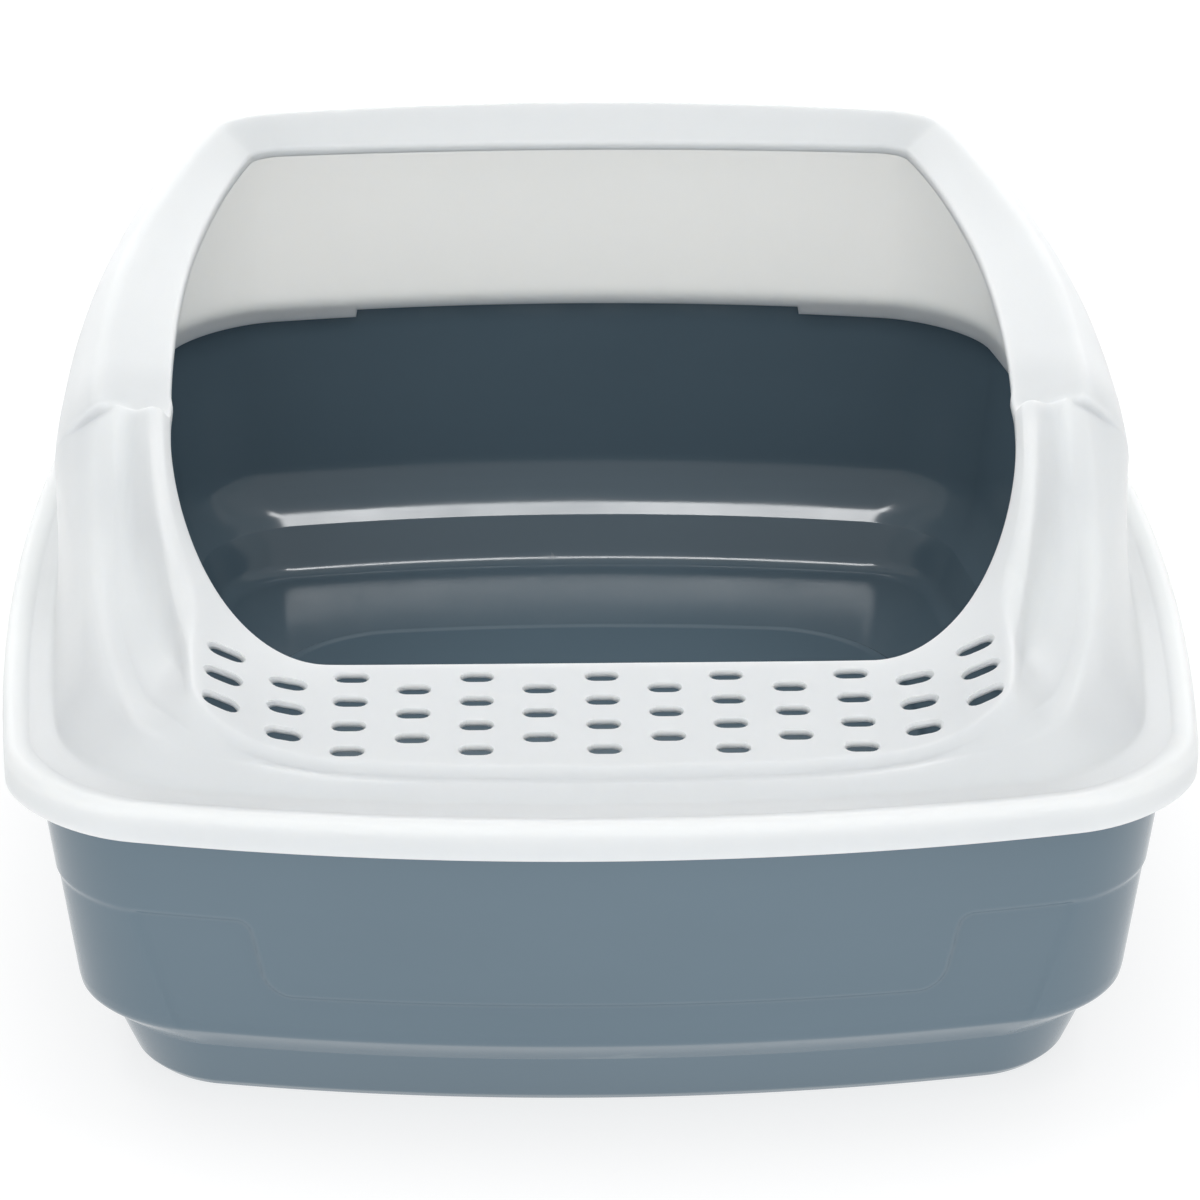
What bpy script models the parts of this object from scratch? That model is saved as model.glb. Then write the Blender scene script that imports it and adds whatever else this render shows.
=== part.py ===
"""Cat litter box: a tray and a lift-off rim hood with a slotted entry step, both injection moulded.

X is right, Y is back (the entry faces -Y) and Z is up. The origin is the middle of the tray's foot, on the
floor. Sizes below are in millimetres, and MM turns them into metres where the meshes are made.
"""

import functools
import math

import bmesh
import bpy
import numpy as np

MM = 0.001

# Driving dimensions
WIDTH = 350
LENGTH = 480
HEIGHT = 177
SKIN = 2.2
HOOD_SKIN = 1.8
CORNER = 36
SIDE_BOW = 18.6
END_BOW = 23

# Hood: the flange round its lower edge, and the skirt inside the tray's rim
FLANGE_BOTTOM = 90.3
FLANGE_TOP = 101
CREASE_Z = 99.2
SHELF_Z = 100
LIP_WIDTH = 7.5
SHELF_WIDTH = 14
SKIRT_BOTTOM = 94.2
SKIRT_THICKNESS = 1.6
SKIRT_INSET = 14.6
SKIRT_LEAD = 2
NOTCH_HALF_WIDTH = 88
NOTCH_BOTTOM = 97

# Hood: the opening and the entry step, a saddle that is level in the middle and curves up at its sides
SILL_Y = -159
SILL_Z = 112.6
SILL_HALF_WIDTH = 75
STEP_SLOPE = math.tan(math.radians(6.5))
SADDLE_START = 73
SADDLE_RADIUS = 64
STEP_DROP = 2.6
EAR_Y = -60
OPENING_HALF_WIDTH = 128
OPENING_BACK_Y = 189
LIP_DROP = 2.8
TOP_BACK_Y = 211
TOP_HALF_WIDTH = 148.5
SHOULDER_SHARE = 0.8
SHOULDER_RADIUS = 20

# Slots through the step: staggered columns
SLOT_PITCH_X = 17
SLOT_PITCH_Y = 13
SLOT_FIRST_Y = -167.1
SLOT_LENGTH = 9.2
SLOT_WIDTH = 5.4
OUTER_COLUMN = 6

# Tray: a drafted wall with a shallow relief, a curved step and a plinth
RIM_TOP = 96.6
RIM_BOTTOM = 93.1
RIM_INSET = 5.4
WALL_INSET = 9
WALL_DRAFT = 0.125
WALL_END_Z = 28
FOOT_INSET = 38.5
PLINTH_Z = 16
PLINTH_SIDE_SHARE = 0.84
RELIEF_DEPTH = 1.2
RELIEF_SIDE_Z = 63.5
RELIEF_FRONT_Z = 40
RELIEF_HALF_WIDTH = 97
PANEL_HALF_WIDTH = 114
PANEL_HALF_LENGTH = 140
PANEL_CORNER = 42
PANEL_RAISE = 1.4

# Stations round half of each piece, from the middle of the front to the middle of the back
HOOD_STATIONS = (4, 3, 4, 3, 3, 1, 4, 5, 2, 4, 4, 4)
TRAY_STATIONS = (5, 6, 6)
CURVE_POINTS = 400


def spline(keys, value):
    """Smooth curve through (x, y) keys, read at value; level beyond its ends."""
    xs, ys = np.array(keys, float).T
    slopes = np.gradient(ys, xs)
    slopes[[0, -1]] = 0
    value = float(np.clip(value, xs[0], xs[-1]))
    i = int(np.clip(np.searchsorted(xs, value) - 1, 0, len(xs) - 2))
    span = xs[i + 1] - xs[i]
    t = (value - xs[i]) / span
    rise = ys[i + 1] - ys[i]
    a = slopes[i] * span - rise
    b = rise - slopes[i + 1] * span
    return ys[i] + rise * t + t * (1 - t) * (a * (1 - t) + b * t)


def smooth_path(points, count):
    """Points along a Catmull-Rom curve through the given plan points."""
    points = np.array(points, float)
    padded = np.vstack([2 * points[0] - points[1], points, 2 * points[-1] - points[-2]])
    path = []
    for p0, p1, p2, p3 in zip(padded, padded[1:], padded[2:], padded[3:]):
        for t in np.linspace(0, 1, count, endpoint=False):
            path.append(
                0.5
                * (
                    2 * p1
                    + (p2 - p0) * t
                    + (2 * p0 - 5 * p1 + 4 * p2 - p3) * t * t
                    + (3 * p1 - p0 - 3 * p2 + p3) * t**3
                )
            )
    return np.array(path + [points[-1]])


def conic_corner(start, corner, end, count):
    """A quarter ellipse from start to end that is tangent to the sides meeting at corner."""
    start, corner, end = (np.array(p, float) for p in (start, corner, end))
    weight = math.sqrt(0.5)
    points = []
    for t in np.linspace(0, 1, count):
        a, b, c = (1 - t) ** 2, 2 * weight * t * (1 - t), t * t
        points.append((a * start + b * corner + c * end) / (a + b + c))
    return np.array(points)


def even_points(path, count):
    """The path again, as points at equal distances."""
    steps = np.hypot(*np.diff(path, axis=0).T)
    distance = np.concatenate([[0], np.cumsum(steps)])
    at = np.linspace(0, distance[-1], count)
    return np.stack([np.interp(at, distance, path[:, k]) for k in (0, 1)], 1)


def bowed(x, y, half_x, half_y):
    """A point of a straight-sided outline, moved in towards the corners so that the sides bulge."""
    bowed_x = x - SIDE_BOW * x / half_x * (2 * y / LENGTH) ** 2
    bowed_y = y - END_BOW * y / half_y * (2 * x / WIDTH) ** 2
    return (bowed_x, bowed_y)


def bowed_outline(inset, corner=CORNER):
    """Half of the body's outline, front middle to back middle: a rounded rectangle with bulging sides."""
    half_x, half_y = WIDTH / 2 - inset, LENGTH / 2 - inset
    front = conic_corner((half_x - corner, -half_y), (half_x, -half_y), (half_x, corner - half_y), 40)
    half = np.vstack([[0, -half_y], front])
    path = even_points(np.vstack([half, (half * (1, -1))[::-1]]), CURVE_POINTS)
    return np.array([bowed(x, y, half_x, half_y) for x, y in path])


def opening_outline():
    """Half of the opening's edge: a straight sill, an elliptical corner, a bowed side and a tight back corner."""
    back_corner = 8
    side_end = (124.8, -50)
    sill_end = (SILL_HALF_WIDTH, SILL_Y)
    front = conic_corner(sill_end, (side_end[0], SILL_Y), side_end, 60)

    def side(y):
        bow = 3.2 * ((y - 35) / 95) ** 2 if y < 35 else 15 * ((y - 35) / 150) ** 2
        return (OPENING_HALF_WIDTH - bow, y)

    def back(x):
        return (x, OPENING_BACK_Y - 8 * (x / 113) ** 2)

    corner_y = back(113)[1]
    sides = [side(y) for y in np.linspace(side_end[1] + 6, corner_y - back_corner, 60)]
    corner = conic_corner(sides[-1], (side(corner_y)[0], corner_y), back(113 - back_corner), 16)
    backs = [back(x) for x in np.linspace(113 - back_corner, 0, 20)]
    return even_points(np.vstack([[0, SILL_Y], front, sides, corner, backs]), CURVE_POINTS)


def crest_outline():
    """Half of the hood's highest line: step foot, arm, ear, then the top edge of the wall."""
    back_corner = 12
    arm = [(0, -220), (60, -217.5), (95, -211), (114, -204.5), (124, -194), (130, -175), (135.5, -155)]
    arm += [(140, -135), (143, -110), (145, -85), (146, EAR_Y)]

    def side(y):
        bow = 2.5 * ((y - 10) / 70) ** 2 if y < 10 else 24.5 * ((y - 10) / 180) ** 2
        return (TOP_HALF_WIDTH - bow, y)

    def back(x):
        return (x, TOP_BACK_Y - 20 * (x / 124) ** 2)

    corner_y = back(124)[1]
    sides = [side(y) for y in np.linspace(EAR_Y + 8, corner_y - back_corner, 60)]
    corner = conic_corner(sides[-1], (side(corner_y)[0], corner_y), back(124 - back_corner), 16)
    backs = [back(x) for x in np.linspace(124 - back_corner, 0, 20)]
    return even_points(np.vstack([smooth_path(arm, 12), sides, corner, backs]), CURVE_POINTS)


def strip_outline(opening):
    """Half of the step's outer edge, which narrows to a strip beside the opening behind the ears."""
    front = [(0, -215), (50, -213), (83, -208), (100, -202.5), (108, -194), (110.5, -180), (113, -160)]
    front += [(117.5, -140), (122, -120), (126, -92), (128.2, EAR_Y)]
    strip = 3
    tangent = np.gradient(opening, axis=0)
    normal = np.stack([tangent[:, 1], -tangent[:, 0]], 1)
    normal /= np.linalg.norm(normal, axis=1)[:, None]
    behind = (opening + strip * normal)[opening[:, 1] > EAR_Y + 6]
    behind[-1, 0] = 0
    return even_points(np.vstack([smooth_path(front, 12), behind]), CURVE_POINTS)


def saddle_z(x, y):
    turn = min(max(abs(x) - SADDLE_START, 0) / SADDLE_RADIUS, 0.95)
    return SILL_Z + STEP_SLOPE * (y + 158) + SADDLE_RADIUS * (1 - math.sqrt(1 - turn * turn))


def crest_z(y):
    arm = [(-220, 103.1), (-212, 105.9), (-203, 109.6), (-186, 112.6), (-168, 115.4), (-142, 120.6)]
    arm += [(-114, 129.1), (-86, 141.1), (-60, 154.6)]
    top = [(-15, 162.1), (15, 165), (45, 167.3), (95, 170.4), (140, 173.7), (190, HEIGHT + 1.3)]
    return spline(arm + top, y)


def opening_z(x, y):
    if y < EAR_Y:
        return saddle_z(x, y)
    behind = [(EAR_Y, 150.2), (-30, 155.6), (0, 158.6), (40, 161.1), (90, 163.6), (180, 167.4)]
    return spline(behind, y)


def channel_drop(y):
    """How far the channel beside the step lies below the step's edge."""
    depth = [(-197, STEP_DROP), (-178, 3.6), (-158, 9.5), (-139, 14), (-122, 16), (-108, 14.5)]
    return spline(depth + [(-94, 12.5), (-75, 8), (EAR_Y, STEP_DROP)], y)


def channel_offset(y):
    """How far the bottom of that channel lies from the step's edge."""
    return spline([(-195, 3), (-165, 4.5), (-135, 4.5), (-105, 8), (EAR_Y, 8)], y)


def point_at(path, position):
    """The path's point at a position counted in points, which may lie between two of them."""
    index = np.arange(len(path))
    return np.array([np.interp(position, index, path[:, k]) for k in (0, 1)])


def stations(opening, flange, counts):
    """Pairs of plan points, one on the opening and one on the flange, that each section runs between."""
    marks = [
        ((0, -159), (0, -240)),
        ((75, -159), (108, -231)),
        ((97, -147), (154, -217)),
        ((111, -125), (171, -190)),
        ((120, -92), (174, -110)),
        ((124.6, EAR_Y - 1.5), (175, EAR_Y - 1.5)),
        ((124.7, EAR_Y), (175, EAR_Y)),
        ((128, 35), (175, 35)),
        ((121, 145), (168, 150)),
        ((117, 168), (162, 184)),
        ((111, 180), (152, 212)),
        ((98, 183), (124, 226)),
        ((0, 189), (0, 240)),
    ]
    on_opening = [np.argmin(np.hypot(*(opening - a).T)) for a, _ in marks]
    on_flange = [np.argmin(np.hypot(*(flange - b).T)) for _, b in marks]
    pairs = []
    for k, count in enumerate(counts):
        for t in np.linspace(0, 1, count, endpoint=False):
            from_opening = on_opening[k] * (1 - t) + on_opening[k + 1] * t
            from_flange = on_flange[k] * (1 - t) + on_flange[k + 1] * t
            pairs.append((from_opening, from_flange))
    pairs.append((on_opening[-1], on_flange[-1]))
    return [(point_at(opening, a), point_at(flange, b)) for a, b in pairs]


def crossing(path, start, direction):
    """Distance from start, along direction, at which the path is crossed."""
    side = np.array([-direction[1], direction[0]])
    offset = (path - start) @ side
    along = (path - start) @ direction
    best = None
    for i in np.nonzero(offset[:-1] * offset[1:] <= 0)[0]:
        gap = offset[i] - offset[i + 1]
        t = offset[i] / gap if gap else 0.0
        reach = along[i] * (1 - t) + along[i + 1] * t
        if reach > -1 and (best is None or reach < best):
            best = reach
    return best


def rounded(chain, count):
    """A chain of (distance, z, radius) corners, each turned into count points of an arc."""
    points = []
    last = len(chain) - 1
    for i, (q, z, radius) in enumerate(chain):
        here = np.array([q, z])
        if i in (0, last):
            points.append(here)
            continue
        before = np.array(chain[i - 1][:2]) - here
        after = np.array(chain[i + 1][:2]) - here
        room = 0.48 * min(np.linalg.norm(before), np.linalg.norm(after))
        unit_a, unit_b = before / np.linalg.norm(before), after / np.linalg.norm(after)
        half = math.acos(float(np.clip(unit_a @ unit_b, -1, 1))) / 2
        reach = min(room, radius / math.tan(half)) if half > 1e-3 else room
        a, b = here + unit_a * reach, here + unit_b * reach
        for t in np.linspace(0, 1, count):
            weight = math.sin(half)
            k = (1 - t) ** 2, 2 * weight * t * (1 - t), t * t
            points.append((k[0] * a + k[1] * here + k[2] * b) / sum(k))
    return np.array(points)


def inner_side(chain, skin):
    """The chain moved by the skin's thickness to its inner side, with its radii to match."""
    moved = []
    last = len(chain) - 1
    for i, (q, z, radius) in enumerate(chain):
        here = np.array([q, z])
        to_next = np.array(chain[min(i + 1, last)][:2]) - np.array(chain[min(i, last - 1)][:2])
        from_last = np.array(chain[max(i, 1)][:2]) - np.array(chain[max(i - 1, 0)][:2])
        normals = [np.array([-d[1], d[0]]) / np.linalg.norm(d) for d in (from_last, to_next)]
        bisector = sum(normals)
        bisector /= np.linalg.norm(bisector)
        shift = skin / max(bisector @ normals[0], 0.5)
        turn = from_last[0] * to_next[1] - from_last[1] * to_next[0]
        moved.append((*(here + bisector * shift), max(radius - skin, 0.3) if turn > 0 else radius + skin))
    return moved


def hood_section(start, direction, reach, outlines):
    """Outer chain of corners of one section, from the flange's lower edge to the opening's lip."""
    crease, wall, crest, strip = (crossing(path, start, direction) for path in outlines)
    strip_x, strip_y = start + direction * strip
    top = crest_z((start + direction * crest)[1])
    edge = opening_z(*start)
    if start[1] >= EAR_Y - 0.01:
        strip_top = edge + (top - edge) * strip / crest
        rest = [
            (crest, top, 5),
            (crest - 0.35 * (crest - strip), top - 0.35 * (top - strip_top), 4),
            (crest - 0.7 * (crest - strip), top - 0.7 * (top - strip_top), 4),
            (strip, strip_top, 1),
        ]
    else:
        strip_top = saddle_z(strip_x, strip_y)
        floor = strip_top - channel_drop(strip_y)
        arm = float(np.clip((strip_y + 195) / 30, 0, 1))
        channel = strip + channel_offset(strip_y)
        inner = (1 - arm) * (channel + crest) / 2 + arm * (crest - 6)
        inner_top = (1 - arm) * (floor + top) / 2 + arm * (top - 0.6)
        rest = [(crest, top, 6), (inner, inner_top, 4), (channel, floor, 3), (strip, strip_top, 1.5)]
    bulge = float(np.clip((start[1] + 110) / 50, 0, 1))
    shoulder_z = SHELF_Z + SHOULDER_SHARE * (top - SHELF_Z)
    shoulder = wall + (1 - bulge) * SHOULDER_SHARE * (crest - wall)
    return [
        (reach, FLANGE_BOTTOM, 0),
        (reach, FLANGE_TOP, 4.5),
        (crease, CREASE_Z, 2),
        (wall, SHELF_Z, 5),
        (shoulder, shoulder_z, SHOULDER_RADIUS),
        *rest,
        (0, edge, 2),
        (0, edge - LIP_DROP, 0),
    ]


def hood_loop(pair, outlines, count):
    """Closed section of the hood: outer side, then inner side with the skirt, as points in space."""
    start, end = pair
    reach = float(np.linalg.norm(end - start))
    direction = (end - start) / reach
    outer = hood_section(start, direction, reach, outlines[:4])
    inner = inner_side(outer, HOOD_SKIN)
    inner[0] = (inner[0][0], FLANGE_BOTTOM, 0)
    inner[-1] = (inner[-1][0], outer[-1][1], 0)
    (under_q, under_z), (above_q, above_z) = inner[3][:2], inner[4][:2]
    skirt_outer = crossing(outlines[4], start, direction)
    skirt_inner = skirt_outer - SKIRT_THICKNESS
    across = max(under_q - skirt_inner, 0) / max(under_q - above_q, 1)
    share = min(across, SKIRT_LEAD / (above_z - under_z))
    joint = (under_q + share * (above_q - under_q), under_z + share * (above_z - under_z))
    notched = start[1] > 0 and abs(end[0]) < NOTCH_HALF_WIDTH
    bottom = NOTCH_BOTTOM if notched else SKIRT_BOTTOM
    skirt = [joint, (skirt_inner, bottom), (skirt_outer, bottom), (skirt_outer, under_z)]
    inside = rounded(inner, count)[::-1]
    wall_side = inside[: 1 + 6 * count]
    flange_side = inside[1 + 7 * count :]
    loop = np.vstack([rounded(outer, count), wall_side, skirt, flange_side])
    return [(*(start + direction * q), z) for q, z in loop]


def ring_mesh(name, loops, capped=False):
    """Mesh of closed loops joined in turn into a ring, or into a shell with a flat cap at each end."""
    mesh = bpy.data.meshes.new(name)
    shape = bmesh.new()
    rows = [[shape.verts.new(np.array(p) * MM) for p in loop] for loop in loops]
    pairs = list(zip(rows, rows[1:])) + ([] if capped else [(rows[-1], rows[0])])
    for a, b in pairs:
        for i in range(len(a)):
            j = (i + 1) % len(a)
            shape.faces.new((a[i], a[j], b[j], b[i]))
    if capped:
        shape.faces.new(rows[0][::-1])
        shape.faces.new(rows[-1])
    bmesh.ops.remove_doubles(shape, verts=shape.verts, dist=0.00001)
    bmesh.ops.recalc_face_normals(shape, faces=shape.faces)
    shape.to_mesh(mesh)
    shape.free()
    return mesh


def mirrored(half):
    """Half of a ring of loops, followed by its mirror image in the plane X = 0."""
    other = [[(-x, y, z) for x, y, z in loop] for loop in half[-2:0:-1]]
    return half + other


def plastic(name, colour, roughness):
    material = bpy.data.materials.new(name)
    material.use_nodes = True
    shader = material.node_tree.nodes["Principled BSDF"]
    shader.inputs["Base Color"].default_value = (*colour, 1)
    shader.inputs["Roughness"].default_value = roughness
    shader.inputs["Metallic"].default_value = 0
    return material


def add_object(name, mesh, collection, material=None):
    thing = bpy.data.objects.new(name, mesh)
    collection.objects.link(thing)
    if material:
        mesh.materials.append(material)
        mesh.shade_smooth()
        mesh.set_sharp_from_angle(angle=math.radians(40))
    return thing


def slot_places():
    """Centres of the step's slots: five columns of four rows, six of three between them, and one at each side."""
    places = []
    for column in range(-OUTER_COLUMN, OUTER_COLUMN + 1):
        odd = column % 2
        rows = 3 if odd or abs(column) == OUTER_COLUMN else 4
        for row in range(rows):
            y = SLOT_FIRST_Y - SLOT_PITCH_Y * (row + odd / 2)
            places.append((column * SLOT_PITCH_X, y))
    return places


def slot_cutter_mesh(arc_points):
    """One upright prism with round ends for each slot, long enough to pass through the step."""
    mesh = bpy.data.meshes.new("slot_cutters")
    shape = bmesh.new()
    radius = SLOT_WIDTH / 2
    shift = SLOT_LENGTH / 2 - radius
    for x, y in slot_places():
        outline = []
        for side in (1, -1):
            for angle in np.linspace(-math.pi / 2, math.pi / 2, arc_points):
                outline.append((x + side * (shift + radius * math.cos(angle)), y + side * radius * math.sin(angle)))
        middle = saddle_z(x, y)
        rows = [[shape.verts.new((px * MM, py * MM, (middle + dz) * MM)) for px, py in outline] for dz in (-9, 7)]
        shape.faces.new(rows[0][::-1])
        shape.faces.new(rows[1])
        for i in range(len(outline)):
            j = (i + 1) % len(outline)
            shape.faces.new((rows[0][i], rows[0][j], rows[1][j], rows[1][i]))
    bmesh.ops.recalc_face_normals(shape, faces=shape.faces)
    shape.to_mesh(mesh)
    shape.free()
    return mesh


def make_hood(parts, cutters, material):
    opening = opening_outline()
    flange = bowed_outline(0)
    outlines = [
        bowed_outline(LIP_WIDTH),
        bowed_outline(SHELF_WIDTH),
        crest_outline(),
        strip_outline(opening),
        bowed_outline(SKIRT_INSET),
    ]
    half = [hood_loop(pair, outlines, 2) for pair in stations(opening, flange, HOOD_STATIONS)]
    hood = add_object("hood", ring_mesh("hood", mirrored(half)), parts, material)
    cutter = add_object("slot_cutters", slot_cutter_mesh(4), cutters)
    cutter.hide_render = True
    cutter.display_type = "WIRE"
    cut = hood.modifiers.new("slots", "BOOLEAN")
    cut.operation = "DIFFERENCE"
    cut.object = cutter
    return hood


def relief_z(x, y):
    """Height of the step line below the tray's rim band, which drops in the middle of the front and back."""
    if abs(y) < LENGTH / 4:
        return RELIEF_SIDE_Z
    return spline([(RELIEF_HALF_WIDTH - 8, RELIEF_FRONT_Z), (RELIEF_HALF_WIDTH + 8, RELIEF_SIDE_Z)], abs(x))


@functools.lru_cache(maxsize=None)
def full_outline(half_x, half_y, corner):
    """Bowed outline with stations at the same places on each level, counterclockwise from the front middle."""
    straight, turn, side = TRAY_STATIONS
    front = [(t * (half_x - corner), -half_y) for t in np.linspace(0, 1, straight, endpoint=False)]
    arc = conic_corner((half_x - corner, -half_y), (half_x, -half_y), (half_x, corner - half_y), turn + 1)
    rest = [(half_x, t * (corner - half_y)) for t in np.linspace(1, 0, side + 1)[1:]]
    quarter = [bowed(x, y, half_x, half_y) for x, y in [*front, *arc, *rest]]
    half = quarter + [(x, -y) for x, y in quarter[-2::-1]]
    return half + [(-x, y) for x, y in half[-2:0:-1]]


def wall_inset(z):
    return WALL_INSET + (RIM_BOTTOM - z) * WALL_DRAFT


def level_outline(inset, corner):
    """Outline at an inset from the body's edge. Beyond the wall's foot it comes in less at the sides."""
    start = wall_inset(WALL_END_Z)
    side = inset if inset < start else start + PLINTH_SIDE_SHARE * (inset - start)
    return full_outline(WIDTH / 2 - side, LENGTH / 2 - inset, corner)


def foot_levels():
    """Corners (inset, z, corner radius) of the tray's lower edge: plinth, step and the foot of the wall."""
    start = wall_inset(WALL_END_Z) + RELIEF_DEPTH
    plinth = [(FOOT_INSET, 0, 22), (FOOT_INSET - 2.4, 2.2, 23)]
    plinth += [(FOOT_INSET - 8.6, PLINTH_Z - 1.4, 27), (FOOT_INSET - 10, PLINTH_Z, 28)]
    return plinth + [(start + 6.2, 19.8, 30), (start + 2.2, 24.2, 27), (start, WALL_END_Z + 2, 24)]


def outer_levels(x, y):
    """Corners up the outside of the tray at one station: foot, recess, rim band and the rim's lip."""
    line = relief_z(x, y)
    recess = [(wall_inset(line - 1) + RELIEF_DEPTH, line - 1, 24)]
    band = [(wall_inset(line + 1), line + 1, 24), (WALL_INSET, RIM_BOTTOM, 27)]
    lip = [(RIM_INSET, RIM_BOTTOM, 31), (RIM_INSET, RIM_TOP - 0.8, 31), (RIM_INSET + 0.8, RIM_TOP, 30)]
    return foot_levels() + recess + band + lip


def inner_levels():
    """Corners down the inside of the tray, one skin's thickness in from the outside."""
    foot = [*foot_levels(), (WALL_INSET, RIM_TOP, 27)]
    chain = [(-LENGTH / 4, 0, 0)] + [(-inset, z, 0) for inset, z, _ in foot]
    moved = [(-q, z) for q, z, _ in inner_side(chain, SKIN)[1:]]
    levels = [(inset, z, corner) for (inset, z), (_, _, corner) in zip(moved, foot)]
    inset, _, corner = levels[-1]
    levels[-1] = (inset, RIM_TOP, corner)
    return levels[::-1]


def make_tray(parts, material):
    places = level_outline(WALL_INSET, CORNER)
    rings = []
    for row in range(len(outer_levels(0, 0))):
        ring = []
        for i, (x, y) in enumerate(places):
            inset, z, corner = outer_levels(x, y)[row]
            ring.append((*level_outline(inset, corner)[i], z))
        rings.append(ring)
    for inset, z, corner in inner_levels():
        rings.append([(x, y, z) for x, y in level_outline(inset, corner)])
    for shrink, z in ((0, SKIN), (3, SKIN + PANEL_RAISE)):
        panel = full_outline(PANEL_HALF_WIDTH - shrink, PANEL_HALF_LENGTH - shrink, PANEL_CORNER - shrink)
        rings.append([(x, y, z) for x, y in panel])
    return add_object("tray", ring_mesh("tray", rings, capped=True), parts, material)


def main():
    for thing in list(bpy.data.objects):
        bpy.data.objects.remove(thing)
    parts = bpy.data.collections.new("cat_litter_box")
    cutters = bpy.data.collections.new("cutters")
    bpy.context.scene.collection.children.link(parts)
    bpy.context.scene.collection.children.link(cutters)
    make_tray(parts, plastic("tray_plastic", (0.17, 0.23, 0.29), 0.3))
    make_hood(parts, cutters, plastic("hood_plastic", (0.86, 0.88, 0.88), 0.25))


main()
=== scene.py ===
"""Cat litter box: fine visual model of the tray and the lift-off rim hood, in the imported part's frame.

X is right, Y is back (the entry faces -Y) and Z is up. Shapes are worked out in millimetres, and MM turns
them into metres where the meshes are made. The lights and the camera are placed in metres.
"""

import math

import bmesh
import bpy
import numpy as np
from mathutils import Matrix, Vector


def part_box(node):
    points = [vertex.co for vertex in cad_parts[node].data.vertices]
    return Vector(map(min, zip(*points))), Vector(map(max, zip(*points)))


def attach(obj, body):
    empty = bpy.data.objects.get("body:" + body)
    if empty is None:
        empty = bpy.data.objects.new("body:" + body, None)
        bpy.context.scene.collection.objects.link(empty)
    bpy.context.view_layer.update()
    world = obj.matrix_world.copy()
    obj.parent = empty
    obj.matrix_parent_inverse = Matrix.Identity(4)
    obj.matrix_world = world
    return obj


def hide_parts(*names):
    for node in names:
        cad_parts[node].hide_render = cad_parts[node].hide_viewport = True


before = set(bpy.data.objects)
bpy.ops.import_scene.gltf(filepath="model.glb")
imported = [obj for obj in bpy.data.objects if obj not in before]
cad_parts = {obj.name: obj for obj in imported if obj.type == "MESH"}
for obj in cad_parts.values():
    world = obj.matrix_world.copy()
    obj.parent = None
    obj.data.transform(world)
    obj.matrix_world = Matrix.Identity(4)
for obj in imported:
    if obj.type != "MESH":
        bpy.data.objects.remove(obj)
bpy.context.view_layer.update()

MM = 0.001

# Driving dimensions: the outer sizes come from the frame
WIDTH = (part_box("hood")[1][0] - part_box("hood")[0][0]) / MM
LENGTH = (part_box("hood")[1][1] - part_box("hood")[0][1]) / MM
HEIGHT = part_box("hood")[1][2] / MM
FLANGE_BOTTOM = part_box("hood")[0][2] / MM
RIM_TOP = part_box("tray")[1][2] / MM
SKIN = 2.2
HOOD_SKIN = 1.8
CORNER = 36
SIDE_BOW = 18.6
END_BOW = 23

# Hood: the flange, its shelf and the skirt inside the tray's rim
FLANGE_TOP = FLANGE_BOTTOM + 10.7
CREASE_Z = FLANGE_BOTTOM + 8.9
SHELF_Z = FLANGE_BOTTOM + 9.7
LIP_WIDTH = 7.5
SHELF_WIDTH = 14
SKIRT_BOTTOM = FLANGE_BOTTOM + 3.9
SKIRT_THICKNESS = 1.6
SKIRT_INSET = 14.6
SKIRT_LEAD = 2
NOTCH_HALF_WIDTH = 88
NOTCH_BOTTOM = FLANGE_BOTTOM + 6.7

# Hood: the opening and the entry step, a saddle that is level in the middle and curves up at its sides
SILL_Y = -159
SILL_Z = 112.6
SILL_HALF_WIDTH = 75
STEP_SLOPE = math.tan(math.radians(6.5))
SADDLE_Y = -158
SADDLE_START = 73
SADDLE_RADIUS = 64
SADDLE_LIMIT = 0.95
STEP_DROP = 2.6
EAR_Y = -60
STRIP_WIDTH = 3
EAR_X = 141.5
EAR_DOME_Y = -67
EAR_RADIUS = 11
EAR_RISE = 1.2
EAR_DIP = 2.2
OPENING_HALF_WIDTH = 128
OPENING_BACK_Y = 189
LIP_DROP = 2.8
TOP_BACK_Y = 211
TOP_HALF_WIDTH = 148.5
SHOULDER_SHARE = 0.8
SHOULDER_RADIUS = 20

# Hood: points round each corner of a section, and between the corners, from the flange to the lip
SECTION_ARC = 6
SECTION_BETWEEN = (2, 0, 1, 4, 6, 1, 1, 2, 14, 0)
SMOOTHING_PASSES = 40

# Hood: the slots through the step, in staggered columns
SLOT_PITCH_X = 17
SLOT_PITCH_Y = 13
SLOT_FIRST_Y = -167.1
SLOT_LENGTH = 9.2
SLOT_WIDTH = 5.4
SLOT_CHAMFER = 0.25
OUTER_COLUMN = 6

# Tray: a drafted wall with a rim, then a ledge and a plinth below it
RIM_BOTTOM = RIM_TOP - 3.5
RIM_INSET = 5.4
WALL_INSET = 9
WALL_DRAFT = 0.125
WALL_END_Z = 28
FOOT_INSET = 38.5
PLINTH_Z = 17.5
LEDGE_RADIUS = 9
LEDGE_SHARE = 0.53
LEDGE_RISE = 5
PLINTH_SIDE_SHARE = 0.84
RIM_CORNER = 27

# Tray: the relief pressed into the wall, round a band below the rim, a tongue at each end and the corners
RELIEF_DEPTH = 1.5
RELIEF_EDGE = 1
LEDGE_EDGE = 2.2
RELIEF_SIDE_Z = 63.5
RELIEF_FRONT_Z = 40
COLUMN_DEPTH = 0.6
END_WALL_Y = 185
TONGUE_HALF_WIDTH = 97
TONGUE_CORNER = 7
TONGUE_FILLET = 4
POCKET_HALF_WIDTH = 129
SIDE_POCKET_HALF_LENGTH = 168

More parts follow.
